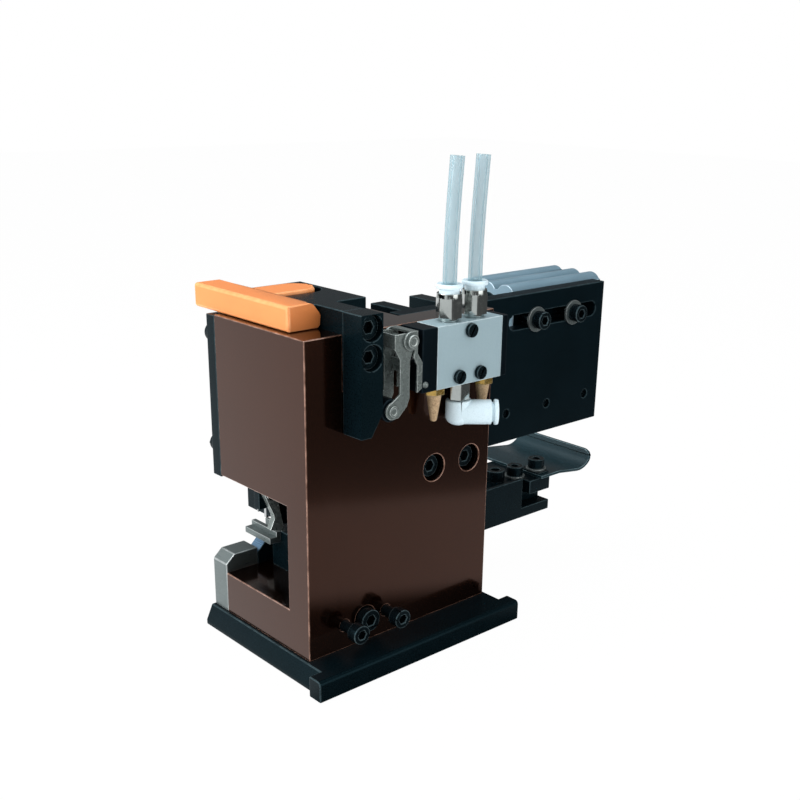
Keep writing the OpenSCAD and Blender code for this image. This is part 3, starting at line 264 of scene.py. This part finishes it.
# %% The finishes of this tool
COOL = (0.3, 0.8, 1.0)
FINISH = {
    # The frame's pale edge tone is partly rubbed plating and partly a painted highlight line.
    "bronze": finish("brown_plating", (0.052, 0.0155, 0.006), (0.064, 0.0195, 0.0078),
                     (0.3, 0.17, 0.125), 0.15, metallic=0.97, dull_edge=0.1, wear_and_sheen=1.0, cloud=18,
                     speckle=2600, share=0.35, bump=0.012, specular=0.2, coat=0.5),
    "black": finish("black_oxide", (0.0008, 0.0032, 0.0045), (0.0018, 0.0056, 0.0078),
                    (0.06, 0.09, 0.1), 0.3, wear_and_sheen=0.6, cloud=60, bump=0.02, specular=0.1, tint=COOL),
    "black_matt": finish("black_paint", (0.0006, 0.0029, 0.0044), (0.0014, 0.005, 0.0074),
                         (0.05, 0.08, 0.09), 0.42, wear_and_sheen=0.5, cloud=50, bump=0.03, specular=0.08,
                         tint=COOL),
    "screw": finish("screw_oxide", (0.001, 0.0022, 0.003), (0.0024, 0.0046, 0.006),
                    (0.09, 0.125, 0.135), 0.26, wear_and_sheen=0.5, cloud=300, bump=0.02, specular=0.16,
                    tint=COOL),
    "steel": finish("ground_steel", (0.145, 0.178, 0.178), (0.2, 0.235, 0.235),
                    (0.6, 0.64, 0.64), 0.34, metallic=0.8, wear_and_sheen=0.7,
                    stretch=(80.0, 80.0, 2600.0), bump=0.04),
    "stamped": finish("stamped_steel", (0.15, 0.178, 0.17), (0.175, 0.205, 0.197),
                      (0.52, 0.57, 0.55), 0.27, metallic=0.5, dull_edge=0.3, wear_and_sheen=0.9, cloud=30,
                      speckle=400, share=0.1, bump=0.0),
    "blued": finish("blued_steel", (0.1, 0.19, 0.3), (0.14, 0.25, 0.38), (0.5, 0.6, 0.7), 0.3,
                    metallic=0.7, wear_and_sheen=0.6, stretch=(80.0, 80.0, 2600.0), bump=0.03),
    "tray": finish("blued_sheet", (0.005, 0.023, 0.031), (0.009, 0.034, 0.044),
                   (0.22, 0.32, 0.35), 0.32, metallic=0.2, wear_and_sheen=0.6, cloud=50, bump=0.02,
                   specular=0.3),
    "bright": finish("bright_steel", (0.5, 0.52, 0.53), (0.6, 0.62, 0.63),
                     (0.85, 0.86, 0.87), 0.18, metallic=1.0, wear_and_sheen=0.3, cloud=120, bump=0.01),
    "alloy": finish("valve_alloy", (0.3, 0.41, 0.45), (0.335, 0.45, 0.49),
                    (0.76, 0.86, 0.88), 0.42, metallic=0.25, wear_and_sheen=0.6,
                    stretch=(2200.0, 90.0, 90.0), bump=0.02),
    "cylinder": finish("cylinder_alloy", (0.18, 0.29, 0.36), (0.235, 0.36, 0.44),
                       (0.55, 0.68, 0.75), 0.36, metallic=0.5, wear_and_sheen=0.6,
                       stretch=(70.0, 1500.0, 1500.0), bump=0.03),
    "plastic": finish("black_plastic", (0.0008, 0.0018, 0.003), (0.0018, 0.0034, 0.0054),
                      (0.026, 0.036, 0.044), 0.36, wear_and_sheen=0.35, cloud=90, speckle=3200, share=0.6,
                      bump=0.04, specular=0.09, tint=COOL),
    "orange": finish("orange_plastic", (0.68, 0.21, 0.055), (0.76, 0.25, 0.07),
                     (0.95, 0.45, 0.19), 0.38, wear_and_sheen=0.5, cloud=35, speckle=2400, share=0.3,
                     bump=0.02, specular=0.4),
    "brass": finish("brass_hex", (0.46, 0.3, 0.08), (0.6, 0.4, 0.12), (0.85, 0.66, 0.32), 0.22,
                    metallic=0.9, wear_and_sheen=0.5, cloud=160, bump=0.01),
    "sintered": finish("sintered_bronze", (0.25, 0.15, 0.075), (0.72, 0.52, 0.31),
                       (0.7, 0.52, 0.33), 0.55, metallic=0.3, wear_and_sheen=0.2, cloud=900, speckle=2200,
                       share=0.6, bump=0.6),
    "nickel": finish("nickel_plate", (0.34, 0.375, 0.365), (0.42, 0.455, 0.445),
                     (0.8, 0.84, 0.82), 0.11, metallic=1.0, wear_and_sheen=0.4, cloud=60, speckle=600,
                     share=0.1, bump=0.0),
    "white": finish("white_plastic", (0.63, 0.77, 0.83), (0.69, 0.83, 0.89),
                    (0.8, 0.92, 0.95), 0.3, wear_and_sheen=0.3, cloud=60, bump=0.0, coat=0.15),
}
print("finishes", len(FINISH))

# %% [markdown]
# ## Broken edges
# A machinist breaks every sharp edge, and in a photograph those narrow strips are what catch the
# light. A bevel modifier could do it, but it can't mark its own strips. So a copy of each CAD mesh is
# merged, its coplanar triangles are dissolved, and its outer corners are bevelled with bmesh, which
# hands back the new faces. They get the attribute that the edge group reads for its wear and its
# painted highlight. One bevel over all corners would be held back by the tightest of them, so
# three rounds go from wide to narrow, and each round takes only the corners that have room for it.

# %% Which corners have room for a bevel
ROOM = 2.2  # free depth that a bevel needs, as a multiple of its width
BESIDE = 0.6  # flatter than this, past the edge's end, is the same rim going on
RUNS_ON = math.radians(145)  # edges that meet at a wider angle are one rim
NO_LIMIT = 1.0


def depth_across(face, edge, width):
    """How far a face reaches beside one of its edges, measured at its narrowest neck."""
    start, end = (v.co for v in edge.verts)
    length = (end - start).length
    along = (end - start) / length
    middle = (start + end) / 2.0
    if len(face.verts) == 3:
        return 2.0 * face.calc_area() / length
    depth = NO_LIMIT
    if len(face.verts) > 4:
        depth = 2.0 * face.calc_area() / face.calc_perimeter()
    for other in face.edges:
        if any(v in edge.verts for v in other.verts):
            continue
        first, second = (v.co for v in other.verts)
        share = intersect_point_line(middle, first, second)[1]
        step = first.lerp(second, min(max(share, 0.0), 1.0)) - start
        run = step.dot(along)
        past = max(-run, run - length, 0.0)
        aside = (step - along * run).length
        if past < width and aside > BESIDE * past:
            depth = min(depth, aside)
    return depth


def has_room(edge, width):
    """True where neither the faces nor the edges beside this one are too short for the bevel."""
    if any(depth_across(face, edge, width) < ROOM * width for face in edge.link_faces):
        return False
    for vert in edge.verts:
        ahead = edge.other_vert(vert).co - vert.co
        for other in vert.link_edges:
            turn = ahead.angle(other.other_vert(vert).co - vert.co, 0.0)
            if other is edge or turn > RUNS_ON:
                continue
            if other.calc_length() < ROOM * width:
                return False
    return True


# %% A bevelled copy of a CAD node
SHARES = (1.0, 0.5, 0.25)
SHARP = math.radians(28)
CREASE = math.radians(40)
FLAT = math.radians(0.5)
WELD = 0.002 * MM


def bevel_where_room(bm, layer, width, segments):
    """Bevel the outer corners, each as wide as its surroundings let it be."""
    for share in SHARES:
        bm.normal_update()
        edges = [e for e in bm.edges if len(e.link_faces) == 2 and e.is_convex
                 and e.calc_face_angle(0.0) > SHARP
                 and all(f[layer] < 0.5 for f in e.link_faces) and has_room(e, width * share)]
        if not edges:
            continue
        result = bmesh.ops.bevel(
            bm, geom=edges, offset=width * share, offset_type="OFFSET", affect="EDGES",
            segments=segments, profile=0.5, material=-1, clamp_overlap=False)
        for face in result["faces"]:
            face[layer] = 1.0


def shade(bm):
    """Smooth shading, with a crease where the surface turns a corner."""
    for face in bm.faces:
        face.smooth = True
    for edge in bm.edges:
        edge.smooth = len(edge.link_faces) == 2 and edge.calc_face_angle(math.pi) < CREASE


def edged_copy(node, width, segments):
    bm = bmesh.new()
    bm.from_mesh(frame["nodes"][node].data)
    layer = bm.faces.layers.float.new("edge")
    bmesh.ops.remove_doubles(bm, verts=bm.verts, dist=WELD)
    bmesh.ops.dissolve_limit(bm, angle_limit=FLAT, verts=bm.verts, edges=bm.edges)
    bevel_where_room(bm, layer, width * MM, segments)
    shade(bm)
    mesh = bpy.data.meshes.new(node + "_edged")
    bm.to_mesh(mesh)
    bm.free()
    piece = add_object(node + "_edged", mesh)
    weighted = piece.modifiers.new("even_faces", "WEIGHTED_NORMAL")
    weighted.keep_sharp = True
    return piece


# %% Dressing one node
def body_of_node(node):
    for body, nodes in frame["record"]["behaviour"]["bodies"].items():
        if node in nodes:
            return body
    raise KeyError(node)


def dress(node, look, width, segments=2):
    piece = edged_copy(node, width, segments)
    piece.data.materials.append(FINISH[look])
    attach(piece, body_of_node(node))
    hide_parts(node)
    return piece


dressed = {}
print("nodes to dress", len(frame["nodes"]))

# %% [markdown]
# ## The frame, the base and the ram
# The C-frame is a brown plated block, and the base, ram, cover and cam bar are blackened steel. Their
# broken edges are about half a millimetre wide, which shows as a fine pale line in the photograph.

# %% Big plates and blocks
for node, look, width in (
        ("c_frame", "bronze", 0.45), ("base_plate", "black", 0.5), ("ram", "black", 0.4),
        ("cam_bar", "black", 0.4), ("ram_cover", "black", 0.4), ("punch_holder", "black", 0.35),
        ("feed_track", "black", 0.4), ("feed_plate", "black_matt", 0.45),
        ("drive_plate", "black", 0.3), ("feed_arm", "black", 0.3), ("clamp_bar", "black", 0.2),
        ("strip_tray", "tray", 0.3), ("front_plate", "steel", 0.5),
        ("anvil_block", "black", 0.35), ("guide_rail", "steel", 0.25),
        ("feed_carriage", "steel", 0.3), ("feed_rail", "steel", 0.3)):
    dressed[node] = dress(node, look, width)
print("plates", len(dressed))

# %% [markdown]
# ## Crimp tooling and the small steel parts
# Punches, anvils and the feed finger are hardened and ground, so they keep crisp edges with only a
# hair of a bevel. Screws have a rounder rim.

# %% Tooling, screws and levers
for node, look, width in (
        ("wire_anvil", "steel", 0.12), ("insulation_anvil", "steel", 0.12),
        ("wire_punch", "bright", 0.12), ("insulation_punch", "bright", 0.12),
        ("punch_shim", "bright", 0.08), ("shear_pusher", "bright", 0.1),
        ("feed_finger", "stamped", 0.25), ("finger_pin", "bright", 0.2),
        ("stop_screw", "nickel", 0.3), ("rod_nut", "nickel", 0.3), ("piston_rod", "bright", 0.3),
        ("washers", "steel", 0.15), ("base_screws", "screw", 0.3), ("front_screws", "screw", 0.45),
        ("rear_screws", "screw", 0.4), ("cam_bar_screws", "screw", 0.35),
        ("holder_screws", "screw", 0.3), ("table_screws", "screw", 0.4),
        ("slot_screws", "screw", 0.45), ("rail_screws", "screw", 0.25),
        ("valve_screws", "screw", 0.35), ("lever_bracket", "stamped", 0.15),
        ("lever_pin", "stamped", 0.25), ("roller_lever", "stamped", 0.17),
        ("roller", "plastic", 0.5)):
    dressed[node] = dress(node, look, width)
print("with tooling", len(dressed))

# %% [markdown]
# ## Air parts
# The valve is a satin alloy block between black plastic caps. Its fittings are nickel with white
# release rings, and the two silencers are brass with sintered bronze cones.

# %% Valve, cylinder and fittings
for node, look, width in (
        ("valve_body", "alloy", 0.3), ("valve_caps", "plastic", 0.4),
        ("cylinder_body", "cylinder", 0.35), ("cylinder_ends", "black", 0.4),
        ("cylinder_fittings", "nickel", 0.35), ("silencers", "sintered", 0.35),
        ("straight_fittings", "nickel", 0.4), ("elbow_hex", "nickel", 0.3)):
    dressed[node] = dress(node, look, width)
print("with air parts", len(dressed))

# %% [markdown]
# ## Moulded plastic
# The white fitting parts and the orange lock have rounder corners, so their bevels take more steps.

# %% Rings, elbow and lock
ROUND_STEPS = 4
for node, look, width in (
        ("ring_left", "white", 0.7), ("ring_right", "white", 0.7), ("elbow_ring", "white", 0.7),
        ("elbow_body", "white", 1.6), ("transport_lock", "orange", 1.4)):
    dressed[node] = dress(node, look, width, ROUND_STEPS)
print("with plastic", len(dressed))

# %% [markdown]
# ## Pieces of two materials, and one painted shade
# A silencer is a brass hexagon over a sintered cone, and a cylinder fitting ends in a white ring. The
# cylinder's face toward its mounting plate lies in shadow and is painted black as painted shade, and
# the slopes of the anvil block are blued. Each face is picked by its place (at) or its facing (to).

# %% A second look on chosen faces
SILENCER_HEX = 3.7 * MM
FITTING_METAL = 11.3 * MM
# Depth of the cylinder face that is painted black as painted shade.
PAINTED_SHADE_DEPTH = 1.0 * MM
SQUARE_ON, SIDEWAYS = 0.9, 0.3
SLOPE = (0.3, 0.95)


def second_look(node, look, inside):
    piece = dressed[node]
    piece.data.materials.append(FINISH[look])
    chosen = [face for face in piece.data.polygons if inside(face.center, face.normal)]
    for face in chosen:
        face.material_index = 1
    print(node, look, "faces", len(chosen))


hex_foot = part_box("valve_body")[0][2] - SILENCER_HEX
ring_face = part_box("cylinder_body")[1][1] + FITTING_METAL
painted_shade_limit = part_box("cylinder_body")[0][1] + PAINTED_SHADE_DEPTH
second_look("silencers", "brass", lambda at, to: at[2] > hex_foot)
second_look("cylinder_fittings", "white", lambda at, to: at[1] > ring_face)
# Painted shade: the cylinder face toward its mounting plate is painted black for the shadow there.
second_look("cylinder_body", "black_matt",
            lambda at, to: to[1] < -SQUARE_ON and at[1] < painted_shade_limit)
second_look("anvil_block", "blued",
            lambda at, to: SLOPE[0] < to[2] < SLOPE[1] and abs(to[1]) < SIDEWAYS)

# %% [markdown]
# ## Rivet heads
# The lever's rivets are pressed with a hollow punch, which leaves a ring in each head. Two insets
# make it: one for the flat land at the rim, one for the groove inside it.

# %% Rings pressed into the rivet heads
ROUND_WITHIN = 0.05 * MM
GROOVE = 0.3 * MM
HEAD_SIDES = 20
FACING = 0.99


def is_head(face):
    """A head is a round, many-sided face that looks along -Y."""
    middle = face.calc_center_median()
    reach = [(vert.co - middle).length for vert in face.verts]
    is_round = max(reach) - min(reach) < ROUND_WITHIN
    return face.normal.y < -FACING and len(face.verts) > HEAD_SIDES and is_round


def pressed_ring(node, land, depth):
    mesh = dressed[node].data
    bm = bmesh.new()
    bm.from_mesh(mesh)
    layer = bm.faces.layers.float["edge"]
    heads = [face for face in bm.faces if is_head(face)]
    for head in heads:
        bmesh.ops.inset_region(bm, faces=[head], thickness=land * MM, use_even_offset=True)
        groove = bmesh.ops.inset_region(
            bm, faces=[head], thickness=GROOVE, depth=-depth * MM, use_even_offset=True)
        # The groove takes the same bright edge tone as the bevels, partly wear and partly painted
        # highlight.
        for face in groove["faces"]:
            face[layer] = 1.0
    bm.to_mesh(mesh)
    bm.free()
    print(node, "rings", len(heads))


pressed_ring("lever_pin", 0.7, 0.25)
pressed_ring("roller_lever", 0.6, 0.2)

# %% [markdown]
# ## Ring stops
# A release ring stops on its seat when it is pressed home, so its hidden end is set back a tenth of a
# millimetre to keep the two faces from sharing one plane.

# %% Hidden ends of the release rings
STOP_GAP = 0.1
END_SKIN = 0.02 * MM


def set_back(node, gap):
    joints = frame["record"]["behaviour"]["joints"]
    inward = Vector(next(j["axis"] for j in joints if j["name"] == node + "_press"))
    verts = dressed[node].data.vertices
    end = max(v.co.dot(inward) for v in verts)
    moved = [v for v in verts if v.co.dot(inward) > end - END_SKIN]
    for vert in moved:
        vert.co -= inward * gap * MM
    print(node, "end points set back", len(moved))


for node in ("ring_left", "ring_right", "elbow_ring"):
    set_back(node, STOP_GAP)

# %% [markdown]
# ## Inside the valve
# The spool and its spring keep their CAD meshes and only take a finish.

# %% Spool and spring
for node, look in (("valve_spool", "bright"), ("valve_spring", "stamped")):
    frame["nodes"][node].data.materials.clear()
    frame["nodes"][node].data.materials.append(FINISH[look])
print("all dressed", len(dressed))

# %% [markdown]
# ## Clear air tubes
# Each tube is clear plastic with an open end, stiff enough to stand by itself. A curve with a round
# bevel gives the outer skin along the same points that the CAD uses, and bmesh's solidify gives the
# skin its wall.

# %% Tube material: a wall seen edge-on hides more than a wall seen square
FACING_BLEND = 0.35
ALPHA_SQUARE, ALPHA_EDGE_ON = 0.3, 0.88


def clear_tube_finish():
    material = finish("clear_tube", (0.27, 0.44, 0.5), (0.32, 0.49, 0.55), (0.6, 0.75, 0.8), 0.14,
                      wear_and_sheen=0.0, cloud=70, bump=0.0)
    tree = material.node_tree
    facing = tree.nodes.new("ShaderNodeLayerWeight")
    set_inputs(facing, {"Blend": FACING_BLEND})
    wall = ramp(tree, facing.outputs["Facing"], (0.0, 1.0), ALPHA_SQUARE, ALPHA_EDGE_ON)
    link(tree, wall, tree.nodes["Principled BSDF"].inputs["Alpha"])
    return material


CLEAR = clear_tube_finish()
print("tube material", CLEAR.name)

# %% Two tubes standing in the straight fittings
TUBE_D = 6.0 * MM
WALL = 1.0 * MM
TUBE_ROUND, TUBE_STEPS, TUBE_ORDER = 6, 10, 3
LEAN = [(0, 0, 0), (0, 0, 13), (0.2, 0, 26), (0.8, 0, 38), (1.6, 0, 50), (2.6, 0, 62)]


def air_tube(node, name):
    low, high = (Vector(c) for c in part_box(node))
    foot = Vector((low.x + TUBE_D / 2, (low.y + high.y) / 2, low.z))
    path = [foot + Vector(p) * MM for p in LEAN]
    curve = bpy.data.curves.new(name + "_line", "CURVE")
    curve.dimensions = "3D"
    curve.bevel_depth = TUBE_D / 2
    curve.bevel_resolution = TUBE_ROUND
    curve.resolution_u = TUBE_STEPS
    spline = curve.splines.new("NURBS")
    spline.points.add(len(path) - 1)
    for point, place in zip(spline.points, path):
        point.co = (*place, 1.0)
    spline.use_endpoint_u = True
    spline.order_u = TUBE_ORDER
    line = add_object(name + "_line", curve)
    now = bpy.context.evaluated_depsgraph_get()
    mesh = bpy.data.meshes.new_from_object(line.evaluated_get(now))
    bpy.data.objects.remove(line)
    bm = bmesh.new()
    bm.from_mesh(mesh)
    bmesh.ops.remove_doubles(bm, verts=bm.verts, dist=WELD)
    bmesh.ops.recalc_face_normals(bm, faces=bm.faces)
    bmesh.ops.solidify(bm, geom=bm.faces[:], thickness=WALL)
    shade(bm)
    bm.to_mesh(mesh)
    bm.free()
    mesh.name = name
    mesh.materials.clear()
    mesh.materials.append(CLEAR)
    piece = add_object(name, mesh)
    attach(piece, "frame")
    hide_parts(node)


for node in ("tube_left", "tube_right"):
    air_tube(node, node + "_clear")

# %% [markdown]
# ## Studio
# The photograph has a pure white ground. A Light Path node shows that white to the camera on the
# floor and in the sky, so the lamps can stay at a plain level; a small share of the floor is left to
# catch the soft shadow. A glossy block that mirrors nothing but white looks flat. So reflections
# alone see a floor that dims beyond a slanting edge, and a sky that darkens to the right, which give
# the frame its soft bands.

# %% What the camera and the mirrors see
def seen_by_eye_or_mirror(tree, path):
    seen = math_node(tree, "MAXIMUM", path.outputs["Is Camera Ray"], path.outputs["Is Glossy Ray"])
    return math_node(tree, "MAXIMUM", seen, path.outputs["Is Transmission Ray"])


def dim_in_mirrors(tree, path, level):
    share = math_node(tree, "SUBTRACT", 1.0, level)
    loss = math_node(tree, "MULTIPLY", share, path.outputs["Is Glossy Ray"])
    return math_node(tree, "SUBTRACT", 1.0, loss)


def parted(tree, output):
    """The X, Y and Z outputs of a texture coordinate."""
    parts = tree.nodes.new("ShaderNodeSeparateXYZ")
    link(tree, tree.nodes.new("ShaderNodeTexCoord").outputs[output], parts.inputs["Vector"])
    return parts.outputs


def show_mixed(tree, factor, lit, white, target):
    mix = tree.nodes.new("ShaderNodeMixShader")
    for source, socket in zip((factor, lit, white), mix.inputs):
        link(tree, source, socket)
    link(tree, mix.outputs["Shader"], tree.nodes[target].inputs["Surface"])


# %% Floor
FLOOR_SIZE = 3.0
FLOOR_GAP = 0.2 * MM
FLOOR_WHITE = 0.985
MIRROR_SLANT, MIRROR_SPAN = 0.486, (-0.4, 0.1)
MIRROR_STOPS = ((0.0, 0.1), (0.14, 0.13), (0.27, 0.2), (0.3, 0.58),
                (0.55, 0.55), (0.59, 0.04), (0.7, 0.04), (0.74, 1.0))


def mirror_bands(tree):
    """Brightness that reflections see on the floor, in bands along a slanting line."""
    place = parted(tree, "Object")
    slant = math_node(tree, "MULTIPLY", place["X"], MIRROR_SLANT)
    across = ramp(tree, math_node(tree, "SUBTRACT", place["Y"], slant), MIRROR_SPAN, 0.0, 1.0)
    bands = tree.nodes.new("ShaderNodeValToRGB")
    link(tree, across, bands.inputs["Fac"])
    stops = bands.color_ramp.elements
    stops.remove(stops[1])
    for where, grey in MIRROR_STOPS:
        stop = stops.new(where) if where else stops[0]
        stop.color = (grey, grey, grey, 1.0)
    return bands.outputs["Color"]


def floor_material():
    material = bpy.data.materials.new("studio_white")
    material.use_nodes = True
    tree = material.node_tree
    shader = tree.nodes["Principled BSDF"]
    set_inputs(shader, {
        "Base Color": (0.9, 0.9, 0.9, 1.0), "Roughness": 0.9, "Specular IOR Level": 0.0})
    glow = tree.nodes.new("ShaderNodeEmission")
    path = tree.nodes.new("ShaderNodeLightPath")
    link(tree, dim_in_mirrors(tree, path, mirror_bands(tree)), glow.inputs["Strength"])
    share = math_node(tree, "MULTIPLY", seen_by_eye_or_mirror(tree, path), FLOOR_WHITE)
    show_mixed(tree, share, shader.outputs["BSDF"], glow.outputs["Emission"], "Material Output")
    return material


def stage_floor():
    bm = bmesh.new()
    bmesh.ops.create_grid(bm, x_segments=1, y_segments=1, size=FLOOR_SIZE)
    mesh = bpy.data.meshes.new("studio_floor")
    bm.to_mesh(mesh)
    bm.free()
    mesh.materials.append(floor_material())
    floor = add_object("studio_floor", mesh)
    floor.location.z = cad_box[0][2] - FLOOR_GAP
    print(floor.name, "at", round(floor.location.z, 4))


stage_floor()

# %% Sky
SKY_FILL = 0.45
SKY_SPAN = (-0.7, 0.4)
SKY_DARK = 0.18


def studio_world():
    world = bpy.data.worlds.new("studio")
    bpy.context.scene.world = world
    world.use_nodes = True
    tree = world.node_tree
    soft = tree.nodes["Background"]
    set_inputs(soft, {"Color": (0.93, 0.97, 1.0, 1.0), "Strength": SKY_FILL})
    white = tree.nodes.new("ShaderNodeBackground")
    set_inputs(white, {"Color": (1.0, 1.0, 1.0, 1.0)})
    path = tree.nodes.new("ShaderNodeLightPath")
    level = ramp(tree, parted(tree, "Generated")["X"], SKY_SPAN, 1.0, SKY_DARK)
    link(tree, dim_in_mirrors(tree, path, level), white.inputs["Strength"])
    show_mixed(tree, seen_by_eye_or_mirror(tree, path), soft.outputs["Background"],
               white.outputs["Background"], "World Output")
    print("world", world.name)


studio_world()

# %% [markdown]
# ## Lamps
# Three large soft lamps: a window on the left, the sky above, and a weak fill from the front.

# %% Three soft lamps
def soft_lamp(name, place, aim, size, watts, colour):
    data = bpy.data.lights.new(name, "AREA")
    data.shape = "RECTANGLE"
    data.size, data.size_y = size
    data.energy = watts
    data.color = colour
    lamp = add_object(name, data)
    lamp.location = place
    lamp.rotation_euler = (Vector(aim) - Vector(place)).to_track_quat("-Z", "Y").to_euler()
    print(name, watts, "W")


MIDDLE = (0.04, -0.02, 0.08)
soft_lamp("window_left", (-0.75, 0.15, 0.45), MIDDLE, (0.6, 0.7), 9.0, (1.0, 0.98, 0.98))
soft_lamp("sky_top", (0.1, 0.1, 0.95), MIDDLE, (0.9, 0.9), 7.0, (0.9, 0.96, 1.0))
soft_lamp("front_fill", (0.25, -0.8, 0.3), MIDDLE, (0.7, 0.6), 3.0, (1.0, 0.98, 0.97))

# %% [markdown]
# ## Camera
# The frame's edges in the photograph fix the lens, the viewing angle and the place of the camera.
# The picture was cropped off centre, which the camera's shift repeats.

# %% Camera at the photograph's place
AZIMUTH, ELEVATION, ROLL = -0.735686106, 0.351855843, 0.0157952019
FOCAL_PX, CENTRE_PX, FRAME_PX = 1114.85481, (411.423075, 481.044327), 800.0
EYE = Vector((-0.2782246, -0.3845148, 0.2446075))
SENSOR_MM = 36.0
NEAR = 0.01
forward = Vector((
    -math.sin(AZIMUTH) * math.cos(ELEVATION), math.cos(AZIMUTH) * math.cos(ELEVATION),
    -math.sin(ELEVATION)))
level_right = Vector((math.cos(AZIMUTH), math.sin(AZIMUTH), 0.0))
level_up = level_right.cross(forward)
right = level_right * math.cos(ROLL) + level_up * math.sin(ROLL)
up = level_up * math.cos(ROLL) - level_right * math.sin(ROLL)
lens = bpy.data.cameras.new("photo_camera")
lens.sensor_width = SENSOR_MM
lens.lens = FOCAL_PX / FRAME_PX * SENSOR_MM
lens.shift_x = (FRAME_PX / 2 - CENTRE_PX[0]) / FRAME_PX
lens.shift_y = (CENTRE_PX[1] - FRAME_PX / 2) / FRAME_PX
lens.clip_start = NEAR
camera = add_object("photo_camera", lens)
camera.matrix_world = Matrix((
    (right.x, up.x, -forward.x, EYE.x), (right.y, up.y, -forward.y, EYE.y),
    (right.z, up.z, -forward.z, EYE.z), (0.0, 0.0, 0.0, 1.0)))
bpy.context.scene.camera = camera
bpy.context.scene.view_settings.view_transform = "Standard"
print("camera", [round(v, 4) for v in EYE], "lens", round(lens.lens, 2))
